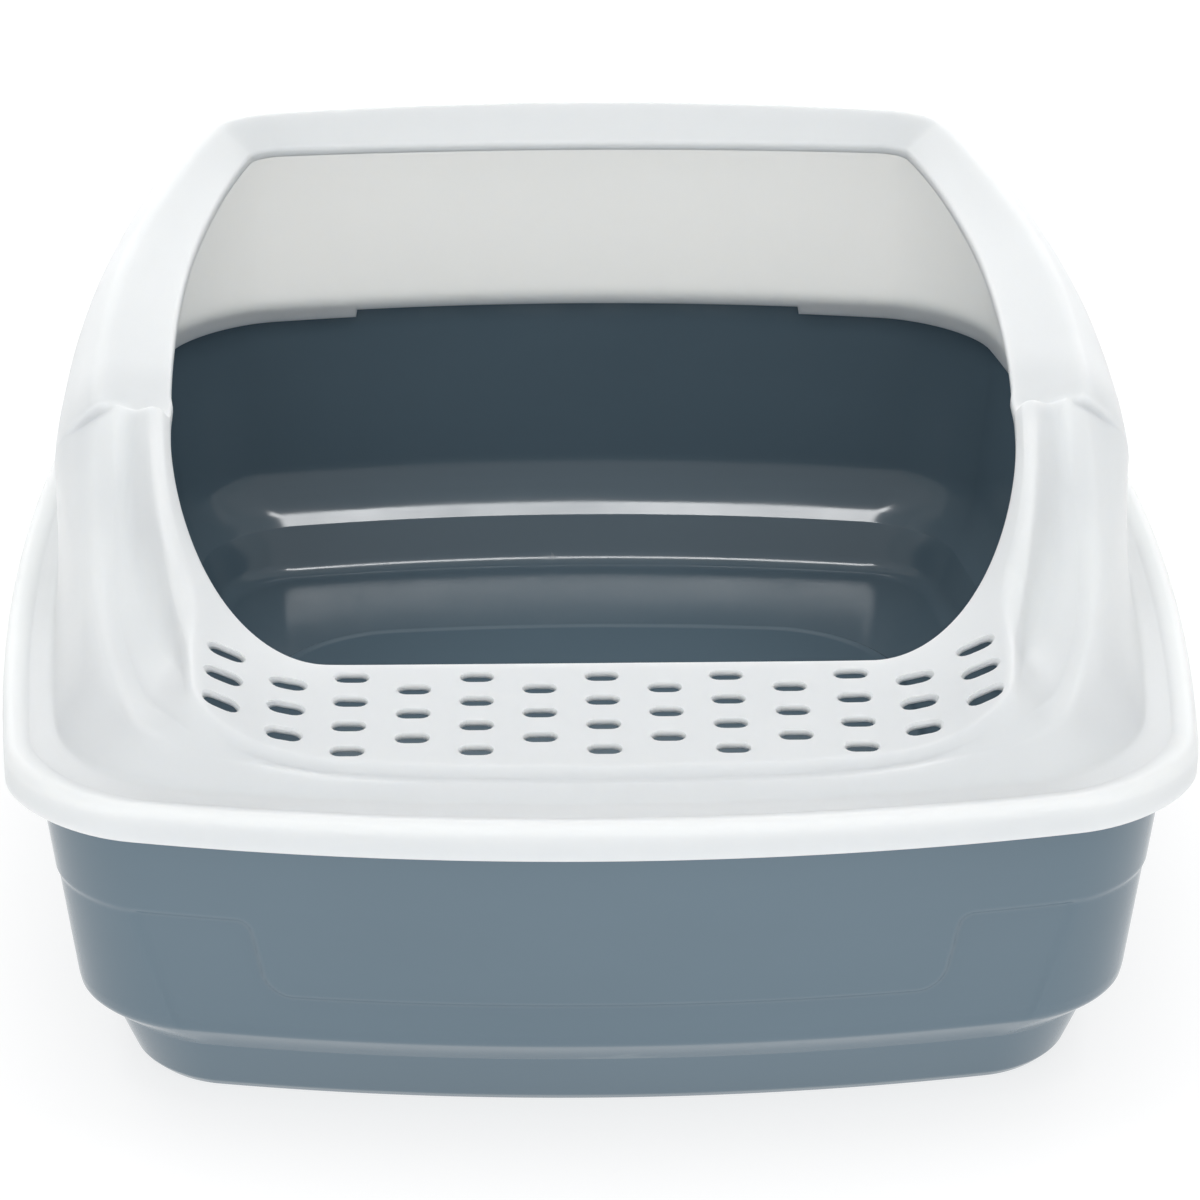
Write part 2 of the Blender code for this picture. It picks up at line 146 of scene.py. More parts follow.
# Tray: the raised panel in the floor, and the (shrink, rise) of each ring of the bead round it
PANEL_HALF_WIDTH = 114
PANEL_HALF_LENGTH = 140
PANEL_CORNER = 42
PANEL_RAISE = 1.4
PANEL_BEAD = ((-1, 0), (0, 0.2), (1, 0.9), (2, 1.7), (3, 2.1), (4, 2), (5, 1.6), (6.5, PANEL_RAISE))

# Tray: stations along a quarter of it, as shares of its straight sides, dense near the relief's edges
FRONT_STATIONS = [*np.linspace(0, 0.6, 12, endpoint=False), *np.linspace(0.6, 1, 56, endpoint=False)]
SIDE_STATIONS = [*np.linspace(1, 0.76, 28)[1:], *np.linspace(0.76, 0, 20)[1:]]

CURVE_POINTS = 1600

# Plastic: how fine each pattern is, per metre, and the grain's height in metres
FLOW_SCALE = 7
GLOSS_SCALE = 30
PATCH_SCALE = 60
SCUFF_SCALE = 90
GRAIN_SCALE = 450
GRAIN_HEIGHT = 0.0002

# Light
WORLD_STRENGTH = 0.67
FLOOR_GLOW = 0.72
SCRIM_WATTS = 8.5
FILL_WATTS = 10.5
BACKDROP_WATTS = 14
CARD_WATTS = 6


def smooth_step(value, start, end):
    """0 before start and 1 after end, with a smooth rise between them."""
    t = np.clip((value - start) / (end - start), 0, 1)
    return t * t * (3 - 2 * t)


def spline(keys, value):
    """Smooth curve through (x, y) keys, read at value; level beyond its ends."""
    xs, ys = np.array(keys, float).T
    slopes = np.gradient(ys, xs)
    slopes[[0, -1]] = 0
    value = float(np.clip(value, xs[0], xs[-1]))
    i = int(np.clip(np.searchsorted(xs, value) - 1, 0, len(xs) - 2))
    span = xs[i + 1] - xs[i]
    t = (value - xs[i]) / span
    rise = ys[i + 1] - ys[i]
    a = slopes[i] * span - rise
    b = rise - slopes[i + 1] * span
    return ys[i] + rise * t + t * (1 - t) * (a * (1 - t) + b * t)


def smooth_path(points, count):
    """Points along a Catmull-Rom curve through the given plan points."""
    points = np.array(points, float)
    padded = np.vstack([2 * points[0] - points[1], points, 2 * points[-1] - points[-2]])
    path = []
    for p0, p1, p2, p3 in zip(padded, padded[1:], padded[2:], padded[3:]):
        for t in np.linspace(0, 1, count, endpoint=False):
            linear = 2 * p1 + (p2 - p0) * t
            square = (2 * p0 - 5 * p1 + 4 * p2 - p3) * t * t
            cubic = (3 * p1 - p0 - 3 * p2 + p3) * t**3
            path.append((linear + square + cubic) / 2)
    return np.array(path + [points[-1]])


def conic_corner(start, corner, end, count):
    """A quarter ellipse from start to end that is tangent to the sides meeting at corner."""
    start, corner, end = (np.array(p, float) for p in (start, corner, end))
    weight = math.sqrt(0.5)
    points = []
    for t in np.linspace(0, 1, count):
        a, b, c = (1 - t) ** 2, 2 * weight * t * (1 - t), t * t
        points.append((a * start + b * corner + c * end) / (a + b + c))
    return np.array(points)


def even_points(path, count):
    """The path again, as points at equal distances."""
    steps = np.hypot(*np.diff(path, axis=0).T)
    distance = np.concatenate([[0], np.cumsum(steps)])
    at = np.linspace(0, distance[-1], count)
    return np.stack([np.interp(at, distance, path[:, k]) for k in (0, 1)], 1)


def bowed(x, y, half_x, half_y):
    """A point of a straight-sided outline, moved in towards the corners so that the sides bulge."""
    bowed_x = x - SIDE_BOW * x / half_x * (2 * y / LENGTH) ** 2
    bowed_y = y - END_BOW * y / half_y * (2 * x / WIDTH) ** 2
    return (bowed_x, bowed_y)


def bowed_outline(inset, corner=CORNER):
    """Half of the body's outline, front middle to back middle: a rounded rectangle with bulging sides."""
    half_x, half_y = WIDTH / 2 - inset, LENGTH / 2 - inset
    front = conic_corner((half_x - corner, -half_y), (half_x, -half_y), (half_x, corner - half_y), 90)
    straight = [(x, -half_y) for x in np.linspace(0, half_x - corner, 40)]
    half = np.vstack([straight, front[1:]])
    side = [(half_x, y) for y in np.linspace(corner - half_y, half_y - corner, 80)[1:-1]]
    path = np.vstack([half, side, (half * (1, -1))[::-1]])
    return even_points(np.array([bowed(x, y, half_x, half_y) for x, y in path]), CURVE_POINTS)


def opening_outline():
    """Half of the opening's edge: a straight sill, a rounded corner, a bowed side and a tight back corner."""
    back_corner = 8
    corner_x = 113
    side_end = (124.8, -50)
    sill_end = (SILL_HALF_WIDTH, SILL_Y)
    front = conic_corner(sill_end, (side_end[0], SILL_Y), side_end, 120)

    def side(y):
        bow = 3.2 * ((y - 35) / 95) ** 2 if y < 35 else 15 * ((y - 35) / 150) ** 2
        return (OPENING_HALF_WIDTH - bow, y)

    def back(x):
        return (x, OPENING_BACK_Y - 8 * (x / corner_x) ** 2)

    corner_y = back(corner_x)[1]
    sides = [side(y) for y in np.linspace(side_end[1] + 6, corner_y - back_corner, 120)]
    corner = conic_corner(sides[-1], (side(corner_y)[0], corner_y), back(corner_x - back_corner), 40)
    backs = [back(x) for x in np.linspace(corner_x - back_corner, 0, 60)]
    return even_points(np.vstack([[0, SILL_Y], front, sides, corner, backs]), CURVE_POINTS)


def crest_outline():
    """Half of the hood's highest line: step foot, arm, ear, then the top edge of the wall."""
    back_corner = 12
    corner_x = 124
    arm = [(0, -220), (60, -217.5), (95, -211), (114, -204.5), (124, -194), (130, -175), (135.5, -155)]
    arm += [(140, -135), (143, -110), (145, -85), (146, EAR_Y)]

    def side(y):
        bow = 2.5 * ((y - 10) / 70) ** 2 if y < 10 else 24.5 * ((y - 10) / 180) ** 2
        return (TOP_HALF_WIDTH - bow, y)

    def back(x):
        return (x, TOP_BACK_Y - 20 * (x / corner_x) ** 2)

    corner_y = back(corner_x)[1]
    sides = [side(y) for y in np.linspace(EAR_Y + 8, corner_y - back_corner, 120)]
    corner = conic_corner(sides[-1], (side(corner_y)[0], corner_y), back(corner_x - back_corner), 40)
    backs = [back(x) for x in np.linspace(corner_x - back_corner, 0, 60)]
    return even_points(np.vstack([smooth_path(arm, 30), sides, corner, backs]), CURVE_POINTS)


def strip_outline(opening):
    """Half of the step's outer edge, which narrows to a strip beside the opening behind the ears."""
    front = [(0, -215), (50, -213), (83, -208), (100, -202.5), (108, -194), (110.5, -180), (113, -160)]
    front += [(117.5, -140), (122, -120), (126, -92), (128.2, EAR_Y)]
    tangent = np.gradient(opening, axis=0)
    normal = np.stack([tangent[:, 1], -tangent[:, 0]], 1)
    normal /= np.linalg.norm(normal, axis=1)[:, None]
    behind = (opening + STRIP_WIDTH * normal)[opening[:, 1] > EAR_Y + 6]
    behind[-1, 0] = 0
    return even_points(np.vstack([smooth_path(front, 30), behind]), CURVE_POINTS)


def saddle_z(x, y):
    """Height of the step, which slopes up towards the opening and curves up at its sides."""
    turn = min(max(abs(x) - SADDLE_START, 0) / SADDLE_RADIUS, SADDLE_LIMIT)
    return SILL_Z + STEP_SLOPE * (y - SADDLE_Y) + SADDLE_RADIUS * (1 - math.sqrt(1 - turn * turn))


def crest_z(y):
    """Height of the hood's highest line: along the arm, then along the wall's top edge."""
    arm = [(-220, 103.1), (-212, 105.9), (-203, 109.6), (-186, 112.6), (-168, 115.4), (-142, 120.6)]
    arm += [(-114, 129.1), (-86, 141.1), (-60, 154.6)]
    top = [(-15, 162.1), (15, 165), (45, 167.3), (95, 170.4), (140, 173.7), (190, HEIGHT + 0.8)]
    return spline(arm + top, y)


def opening_z(x, y):
    """Height of the opening's edge, which is the step's in front of the ears and rises behind them."""
    if y < EAR_Y:
        return saddle_z(x, y)
    behind = [(EAR_Y, 150.2), (-30, 155.6), (0, 158.6), (40, 161.1), (90, 163.6), (180, 167.4)]
    return spline(behind, y)


def channel_drop(y):
    """How far the channel beside the step lies below the step's edge."""
    depth = [(-197, STEP_DROP), (-178, 3.6), (-158, 9.5), (-139, 14), (-122, 16), (-108, 14.5)]
    return spline(depth + [(-94, 12.5), (-75, 8), (EAR_Y, STEP_DROP)], y)


def channel_offset(y):
    """How far the bottom of the channel beside the step lies outside the step's edge."""
    return spline([(-195, 3), (-165, 4.5), (-135, 4.5), (-105, 8), (EAR_Y, 8)], y)


def point_at(path, position):
    """The path's point at a position counted in points, which may lie between two of them."""
    index = np.arange(len(path))
    return np.array([np.interp(position, index, path[:, k]) for k in (0, 1)])


def stations(opening, flange):
    """Pairs of plan points, one on the opening and one on the flange, that each section runs between.

    A mark is a point near the opening, one near the flange and the number of sections up to the next mark.
    """
    marks = [
        ((0, -159), (0, -240), 16),
        ((75, -159), (108, -231), 14),
        ((97, -147), (154, -217), 16),
        ((111, -125), (171, -190), 16),
        ((120, -92), (174, -110), 20),
        ((124.4, EAR_Y - 3), (175, EAR_Y - 3), 12),
        ((124.7, EAR_Y + 1), (175, EAR_Y + 1), 30),
        ((128, 35), (175, 35), 26),
        ((121, 145), (168, 150), 10),
        ((117, 168), (162, 184), 16),
        ((111, 180), (152, 212), 16),
        ((98, 183), (124, 226), 10),
        ((68, 186.2), (88.6, 234.4), 2),
        ((67, 186.3), (87.4, 234.6), 14),
        ((0, 189), (0, 240), 1),
    ]
    on_opening = [np.argmin(np.hypot(*(opening - a).T)) for a, _, _ in marks]
    on_flange = [np.argmin(np.hypot(*(flange - b).T)) for _, b, _ in marks]
    pairs = []
    for k, (_, _, count) in enumerate(marks[:-1]):
        for t in np.linspace(0, 1, count, endpoint=False):
            from_opening = on_opening[k] * (1 - t) + on_opening[k + 1] * t
            from_flange = on_flange[k] * (1 - t) + on_flange[k + 1] * t
            pairs.append((from_opening, from_flange))
    pairs.append((on_opening[-1], on_flange[-1]))
    return [(point_at(opening, a), point_at(flange, b)) for a, b in pairs]


def crossing(path, start, direction):
    """Distance from start, along direction, at which the path is crossed."""
    side = np.array([-direction[1], direction[0]])
    offset = (path - start) @ side
    along = (path - start) @ direction
    best = None
    for i in np.nonzero(offset[:-1] * offset[1:] <= 0)[0]:
        gap = offset[i] - offset[i + 1]
        t = offset[i] / gap if gap else 0.0
        reach = along[i] * (1 - t) + along[i + 1] * t
        if reach > -1 and (best is None or reach < best):
            best = reach
    return best


def rounded(chain, count, between):
    """A chain of (distance, z, radius) corners as arcs of count points, with points between them."""
    arcs = []
    last = len(chain) - 1
    for i, (q, z, radius) in enumerate(chain):
        here = np.array([q, z])
        if i in (0, last):
            arcs.append([here])
            continue
        before = np.array(chain[i - 1][:2]) - here
        after = np.array(chain[i + 1][:2]) - here
        # An arc takes up at most nearly half of the shorter side beside it.
        room = 0.48 * min(np.linalg.norm(before), np.linalg.norm(after))
        unit_a, unit_b = before / np.linalg.norm(before), after / np.linalg.norm(after)
        half = math.acos(float(np.clip(unit_a @ unit_b, -1, 1))) / 2
        reach = min(room, radius / math.tan(half)) if half > 1e-3 else room
        a, b = here + unit_a * reach, here + unit_b * reach
        weight = math.sin(half)
        arc = []
        for t in np.linspace(0, 1, count):
            k = (1 - t) ** 2, 2 * weight * t * (1 - t), t * t
            arc.append((k[0] * a + k[1] * here + k[2] * b) / sum(k))
        arcs.append(arc)
    points = list(arcs[0])
    for i, arc in enumerate(arcs[1:]):
        start, end = points[-1], arc[0]
        points += [start + (end - start) * t for t in np.linspace(0, 1, between[i] + 2)[1:-1]]
        points += arc
    return np.array(points)


def inner_side(chain, skin):
    """The chain moved by the skin's thickness to its inner side, with its radii to match."""
    moved = []
    last = len(chain) - 1
    for i, (q, z, radius) in enumerate(chain):
        here = np.array([q, z])
        to_next = np.array(chain[min(i + 1, last)][:2]) - np.array(chain[min(i, last - 1)][:2])
        from_last = np.array(chain[max(i, 1)][:2]) - np.array(chain[max(i - 1, 0)][:2])
        normals = [np.array([-d[1], d[0]]) / np.linalg.norm(d) for d in (from_last, to_next)]
        bisector = sum(normals)
        bisector /= np.linalg.norm(bisector)
        shift = skin / max(bisector @ normals[0], 0.5)
        turn = from_last[0] * to_next[1] - from_last[1] * to_next[0]
        moved.append((*(here + bisector * shift), max(radius - skin, 0.3) if turn > 0 else radius + skin))
    return moved


def behind_ear_corners(crest, strip, top, edge):
    """Corners of the sloping band behind the ears, from the wall's top edge to the opening."""
    strip_top = edge + (top - edge) * strip / crest
    corners = [(crest, top, 5)]
    for share in (0.35, 0.7):
        corners.append((crest - share * (crest - strip), top - share * (top - strip_top), 4))
    return [*corners, (strip, strip_top, 1)]


def arm_corners(crest, strip, top, strip_point):
    """Corners of the arm and of the channel between the arm and the step."""
    y = strip_point[1]
    strip_top = saddle_z(*strip_point)
    floor = strip_top - channel_drop(y)
    arm = float(smooth_step(y, -200, -160))
    soft = float(smooth_step(y, -178, -140))
    ear = float(smooth_step(y, -95, EAR_Y))
    channel = strip + channel_offset(y)
    inner = (1 - arm) * (channel + crest) / 2 + arm * (crest - 6)
    inner_top = (1 - arm) * (floor + top) / 2 + arm * (top - 0.6)
    return [
        (crest, top - 1.2 * soft - EAR_DIP * ear, 6 + 4 * soft),
        (inner, inner_top, 4 + 3 * soft),
        (channel, floor, 5 + 7 * soft),
        (strip, strip_top, 2.5 + 5.5 * soft),
    ]


def hood_section(start, direction, reach, outlines):
    """Outer chain of corners of one section, from the flange's lower edge to the opening's lip."""
    crease, wall, crest, strip = (crossing(path, start, direction) for path in outlines)
    top = crest_z((start + direction * crest)[1])
    edge_behind = opening_z(start[0], max(start[1], EAR_Y))
    behind = behind_ear_corners(crest, strip, top, edge_behind)
    arm = arm_corners(crest, strip, top, start + direction * strip)
    blend = float(smooth_step(start[1], EAR_Y - 1.6, EAR_Y + 1.2))
    mixed = [tuple((1 - blend) * np.array(a) + blend * np.array(b)) for a, b in zip(arm, behind)]
    edge_blend = float(smooth_step(start[1], EAR_Y - 10, EAR_Y + 8))
    edge = (1 - edge_blend) * saddle_z(*start) + edge_blend * edge_behind
    bulge = float(np.clip((start[1] + 110) / 50, 0, 1))
    shoulder_z = SHELF_Z + SHOULDER_SHARE * (top - SHELF_Z)
    shoulder = wall + (1 - bulge) * SHOULDER_SHARE * (crest - wall)
    return [
        (reach, FLANGE_BOTTOM, 0),
        (reach, FLANGE_TOP, 4.5),
        (crease, CREASE_Z, 2),
        (wall, SHELF_Z, 5),
        (shoulder, shoulder_z, SHOULDER_RADIUS),
        *mixed,
        (0, edge, 2),
        (0, edge - LIP_DROP, 0),
    ]


def ear_rise(x, y):
    """How far the ear's dome lifts the hood's outer face."""
    reach = math.hypot(abs(x) - EAR_X, y - EAR_DOME_Y) / EAR_RADIUS
    return EAR_RISE * (1 - reach**2) ** 1.5 if reach < 1 else 0


def skirt_section(inner, outline, start, end, direction):
    """Corners (distance, z) of the skirt, which hangs from the shelf's under side inside the tray's rim."""
    (under_q, under_z), (above_q, above_z) = inner[3][:2], inner[4][:2]
    outer_q = crossing(outline, start, direction)
    inner_q = outer_q - SKIRT_THICKNESS
    across = max(under_q - inner_q, 0) / max(under_q - above_q, 1)
    share = min(across, SKIRT_LEAD / (above_z - under_z))
    joint = (under_q + share * (above_q - under_q), under_z + share * (above_z - under_z))
    notched = start[1] > 0 and abs(end[0]) < NOTCH_HALF_WIDTH
    bottom = NOTCH_BOTTOM if notched else SKIRT_BOTTOM
    return [joint, (inner_q, bottom), (outer_q, bottom), (outer_q, under_z)]


def hood_loop(pair, outlines):
    """Closed section of the hood: outer side, then inner side with the skirt, as points in space."""
    start, end = pair
    reach = float(np.linalg.norm(end - start))
    direction = (end - start) / reach
    outer = hood_section(start, direction, reach, outlines[:4])
    inner = inner_side(outer, HOOD_SKIN)
    inner[0] = (inner[0][0], FLANGE_BOTTOM, 0)
    inner[-1] = (inner[-1][0], outer[-1][1], 0)
    skirt = skirt_section(inner, outlines[4], start, end, direction)
    outside = rounded(outer, SECTION_ARC, SECTION_BETWEEN)
    inside = rounded(inner, SECTION_ARC, SECTION_BETWEEN)
    foot = 1 + sum(SECTION_BETWEEN[:3]) + 2 * SECTION_ARC
    flange_side = inside[: foot - SECTION_BETWEEN[2]][::-1]
    wall_side = inside[foot + SECTION_ARC :][::-1]
    loop = np.vstack([outside, wall_side, skirt, flange_side])
    points = [(*(start + direction * q), z) for q, z in loop]
    raised = [(x, y, z + ear_rise(x, y)) for x, y, z in points[: len(outside)]]
    return raised + points[len(outside) :]


def ring_mesh(name, loops, capped=False):
    """Mesh of closed loops joined in turn into a ring, or into a shell with a flat cap at each end."""
    same_point = 0.00001
    points = np.array(loops)
    rows, columns = points.shape[:2]
    index = np.arange(rows * columns).reshape(rows, columns)
    last = rows - 1 if capped else rows
    faces = []
    for r in range(last):
        a, b = index[r], index[(r + 1) % rows]
        faces += np.stack([a, np.roll(a, -1), np.roll(b, -1), b], 1).tolist()
    if capped:
        faces.append(index[0][::-1].tolist())
        faces.append(index[-1].tolist())
    mesh = bpy.data.meshes.new(name)
    mesh.from_pydata((points.reshape(-1, 3) * MM).tolist(), [], faces)
    shape = bmesh.new()
    shape.from_mesh(mesh)
    bmesh.ops.remove_doubles(shape, verts=shape.verts, dist=same_point)
    bmesh.ops.recalc_face_normals(shape, faces=shape.faces)
    shape.to_mesh(mesh)
    shape.free()
    return mesh


def mirrored(half):
    """Half of a ring of loops, followed by its mirror image in the plane X = 0."""
    other = [[(-x, y, z) for x, y, z in loop] for loop in half[-2:0:-1]]
    return half + other


def add_object(name, mesh, material):
    """A new object of the mesh and its material, shaded smooth except across sharp edges."""
    sharpest = math.radians(40)
    thing = bpy.data.objects.new(name, mesh)
    bpy.context.scene.collection.objects.link(thing)
    mesh.materials.append(material)
    mesh.shade_smooth()
    mesh.set_sharp_from_angle(angle=sharpest)
    return thing


def slot_places():
    """Centres of the step's slots, in columns of four rows and, between them and at the sides, of three."""
    places = []
    for column in range(-OUTER_COLUMN, OUTER_COLUMN + 1):
        odd = column % 2
        rows = 3 if odd or abs(column) == OUTER_COLUMN else 4
        for row in range(rows):
            y = SLOT_FIRST_Y - SLOT_PITCH_Y * (row + odd / 2)
            places.append((column * SLOT_PITCH_X, y))
    return places


def slot_outline(x, y, grow, arc_points):
    """A stadium round (x, y), grown outwards by grow."""
    radius = SLOT_WIDTH / 2 + grow
    shift = SLOT_LENGTH / 2 - SLOT_WIDTH / 2
    outline = []
    for side in (1, -1):
        for angle in np.linspace(-math.pi / 2, math.pi / 2, arc_points):
            across = shift + radius * math.cos(angle)
            outline.append((x + side * across, y + side * radius * math.sin(angle)))
    return outline


def slot_cutter():
    """An upright prism with round ends for each slot, flared where it leaves the step's upper face."""
    shape = bmesh.new()
    flare = SLOT_CHAMFER
    # Each level is a rise above the step's face and how far the outline is grown there.
    levels = [(-9, 0), (-2 * flare, 0), (-0.3 * flare, 0.3 * flare), (0.4, flare + 0.4), (5, flare + 0.4)]
    arc_points = 10
    for x, y in slot_places():
        rings = []
        for rise, grow in levels:
            ring = []
            for px, py in slot_outline(x, y, grow, arc_points):
                ring.append(shape.verts.new((px * MM, py * MM, (saddle_z(px, py) + rise) * MM)))
            rings.append(ring)
        shape.faces.new(rings[0][::-1])
        shape.faces.new(rings[-1])
        for a, b in zip(rings, rings[1:]):
            for i in range(len(a)):
                j = (i + 1) % len(a)
                shape.faces.new((a[i], a[j], b[j], b[i]))
    bmesh.ops.recalc_face_normals(shape, faces=shape.faces)
    mesh = bpy.data.meshes.new("slot_cutters")
    shape.to_mesh(mesh)
    shape.free()
    cutter = bpy.data.objects.new("slot_cutters", mesh)
    bpy.context.scene.collection.objects.link(cutter)
    return cutter


def cut_slots(hood):
    """Takes the slots out of the hood, and leaves a plain mesh."""
    cutter = slot_cutter()
    cut = hood.modifiers.new("slots", "BOOLEAN")
    cut.operation = "DIFFERENCE"
    cut.object = cutter
    graph = bpy.context.evaluated_depsgraph_get()
    mesh = bpy.data.meshes.new_from_object(hood.evaluated_get(graph))
    hood.modifiers.clear()
    hood.data = mesh
    bpy.data.objects.remove(cutter)
    return hood


def softened(half, stations_y):
    """The loops with their outer faces evened out along each arm, from station to station."""
    points = np.array(half)
    along = np.array(stations_y)
    weight = smooth_step(along, -152, -140) * (1 - smooth_step(along, -72, -62))
    # From the bend at the wall's foot to the bend at the step's edge.
    first = 3 + 2 * SECTION_ARC + sum(SECTION_BETWEEN[:3])
    last = first + 5 * SECTION_ARC + sum(SECTION_BETWEEN[3:8])
    face = points[:, first:last]
    for _ in range(SMOOTHING_PASSES):
        step = np.zeros_like(face)
        step[1:-1] = (face[:-2] + face[2:]) / 2 - face[1:-1]
        face += 0.5 * weight[:, None, None] * step
    return [[tuple(p) for p in loop] for loop in points]


def make_hood(material):
    """The hood: a ring of sections round the opening, with the slots cut out."""
    opening = opening_outline()
    flange = bowed_outline(0)
    outlines = [
        bowed_outline(LIP_WIDTH),
        bowed_outline(SHELF_WIDTH),
        crest_outline(),
        strip_outline(opening),
        bowed_outline(SKIRT_INSET),
    ]
    pairs = stations(opening, flange)
    loops = [hood_loop(pair, outlines) for pair in pairs]
    half = softened(loops, [start[1] for start, _ in pairs])
    hood = add_object("hood_shell", ring_mesh("hood_shell", mirrored(half)), material)
    return cut_slots(hood)


def full_outline(half_x, half_y, corner):
    """Bowed outline with the same stations on each level, counterclockwise from the front middle."""
    front = [(t * (half_x - corner), -half_y) for t in FRONT_STATIONS]
    arc = conic_corner((half_x - corner, -half_y), (half_x, -half_y), (half_x, corner - half_y), 25)
    rest = [(half_x, t * (corner - half_y)) for t in SIDE_STATIONS]
    quarter = [bowed(x, y, half_x, half_y) for x, y in [*front, *arc, *rest]]
    half = quarter + [(x, -y) for x, y in quarter[-2::-1]]
    return np.array(half + [(-x, y) for x, y in half[-2:0:-1]])


def wall_inset(z):
    """How far the drafted wall lies inside the body's edge at a height."""
    return WALL_INSET + (RIM_BOTTOM - z) * WALL_DRAFT


def level_outline(inset, corner):
    """Outline at an inset from the body's edge. Beyond the wall's foot it comes in less at the sides."""
    start = wall_inset(WALL_END_Z)
    side = inset if inset < start else start + PLINTH_SIDE_SHARE * (inset - start)
    return full_outline(WIDTH / 2 - side, LENGTH / 2 - inset, corner)


def tray_chain():
    """Corners up the outside of the tray, from the foot to the rim, without the relief.

    Each is the distance outwards, the height, the radius of the bend and the radius of the corner in plan.
    """
    start = wall_inset(WALL_END_Z)
    return [
        (-FOOT_INSET, 0, 0, 22),
        (-FOOT_INSET + 2.4, 2.2, 4, 23),
        (-FOOT_INSET + 10, PLINTH_Z, 0.8, 28),
        (-start - 0.1, WALL_END_Z, LEDGE_RADIUS, 26),
        (-WALL_INSET, RIM_BOTTOM, 0, RIM_CORNER),
    ]


def corner_at(z):
    """Radius of the tray's corner in plan, at a height on the outside."""
    chain = tray_chain()
    return np.interp(z, [c[1] for c in chain], [c[3] for c in chain])


def tongue_distance(x, z):
    """How far outside the tongue in the middle of each end wall a point lies; below 0 inside it."""
    half_width = TONGUE_HALF_WIDTH - 0.12 * (RELIEF_SIDE_Z - z)
    out_x = x - (half_width - TONGUE_CORNER)
    out_z = RELIEF_FRONT_Z + TONGUE_CORNER - z
    outside = np.hypot(np.maximum(out_x, 0), max(out_z, 0))
    inside = np.minimum(np.maximum(out_x, out_z), 0)
    return outside + inside - TONGUE_CORNER


def relief(points, z):
    """How deep each point of an outline at height z lies below the face of the rim band."""
    x, y = np.abs(points).T
    at_end = y > END_WALL_Y
    band = RELIEF_SIDE_Z - z
    tongue = tongue_distance(x, z)
    # The tongue joins the band with a fillet.
    mix = np.clip(0.5 + (tongue - band) / (2 * TONGUE_FILLET), 0, 1)
    joined = tongue * (1 - mix) + band * mix - TONGUE_FILLET * mix * (1 - mix)
    below = smooth_step(np.where(at_end, joined, band), -RELIEF_EDGE, RELIEF_EDGE)
    above_foot = smooth_step(z, WALL_END_Z - LEDGE_EDGE, WALL_END_Z + LEDGE_EDGE)
    crease = POCKET_HALF_WIDTH - 0.2 * (RELIEF_SIDE_Z - z)
    across = np.where(at_end, x - crease, y - SIDE_POCKET_HALF_LENGTH)
    pocket = 1 - smooth_step(across, -RELIEF_EDGE, RELIEF_EDGE)
    return below * above_foot * (COLUMN_DEPTH + (RELIEF_DEPTH - COLUMN_DEPTH) * pocket)


def tray_inner_side():
    """Points (distance outwards, z) down the inside of the tray: wall, hollow ledge, plinth and floor."""
    ledge_radius = 30
    plinth_radius = 1.2
    floor_radius = 10
    outer = [(-FOOT_INSET - 12, 0, 0), (1.2 - FOOT_INSET, 0, 0)] + [c[:3] for c in tray_chain()[2:]]
    floor, foot, edge, wall, _ = (np.array(corner[:2]) for corner in inner_side(outer, SKIN))
    bend = edge + LEDGE_SHARE * (wall - edge)
    wall_end = (-wall_inset(wall[1] + LEDGE_RISE) - SKIN, wall[1] + LEDGE_RISE)
    corners = [
        (-WALL_INSET - SKIN, RIM_TOP, 0),
        (*wall_end, ledge_radius),
        (*bend, ledge_radius),
        (*edge, plinth_radius),
        (*foot, floor_radius),
        (*floor, 0),
    ]
    return rounded(corners, 12, (8, 1, 3, 2, 1))


def outline_normals(outline):
    """Unit normals of a closed plan outline, pointing out."""
    tangent = np.roll(outline, -1, 0) - np.roll(outline, 1, 0)
    normal = np.stack([tangent[:, 1], -tangent[:, 0]], 1)
    return normal / np.linalg.norm(normal, axis=1)[:, None]


def ring_at(outline, z):
    """The points of a plan outline at a height."""
    return [(x, y, z) for x, y in outline]


def tray_outer_rings():
    """Rings up the outside of the tray, from the foot to the rim, with the relief pressed in."""
    middle = full_outline(WIDTH / 2 - WALL_INSET, LENGTH / 2 - WALL_INSET, RIM_CORNER)
    rings = []
    for q, z in rounded([c[:3] for c in tray_chain()], 10, (1, 6, 3, 88)):
        outline = level_outline(-q, corner_at(z))
        inward = -relief(middle, z)[:, None] * outline_normals(outline)
        rings.append(ring_at(outline + inward, z))
    return rings


def tray_rim_rings():
    """Rings out under the rim, up its edge and in over its top."""
    rim_radius = 0.8
    lip = [
        (-WALL_INSET, RIM_BOTTOM, 0),
        (-RIM_INSET, RIM_BOTTOM, rim_radius),
        (-RIM_INSET, RIM_TOP, rim_radius),
        (-WALL_INSET - SKIN / 2, RIM_TOP, 0),
    ]
    points = rounded(lip, 4, (0, 0, 0))[1:]
    return [ring_at(level_outline(-q, RIM_CORNER + (WALL_INSET + q)), z) for q, z in points]


def tray_panel_rings():
    """Rings over the bead and onto the raised panel in the floor."""
    rings = []
    for shrink, rise in PANEL_BEAD:
        panel = full_outline(PANEL_HALF_WIDTH - shrink, PANEL_HALF_LENGTH - shrink, PANEL_CORNER - shrink)
        rings.append(ring_at(panel, SKIN + rise))
    return rings


def make_tray(material):
    """The tray: rings up its outside, over its rim, down its inside and across its floor."""
    inner = [ring_at(level_outline(-q, corner_at(z)), z) for q, z in tray_inner_side()]
    rings = [*tray_outer_rings(), *tray_rim_rings(), *inner, *tray_panel_rings()]
    return add_object("tray_shell", ring_mesh("tray_shell", rings, capped=True), material)


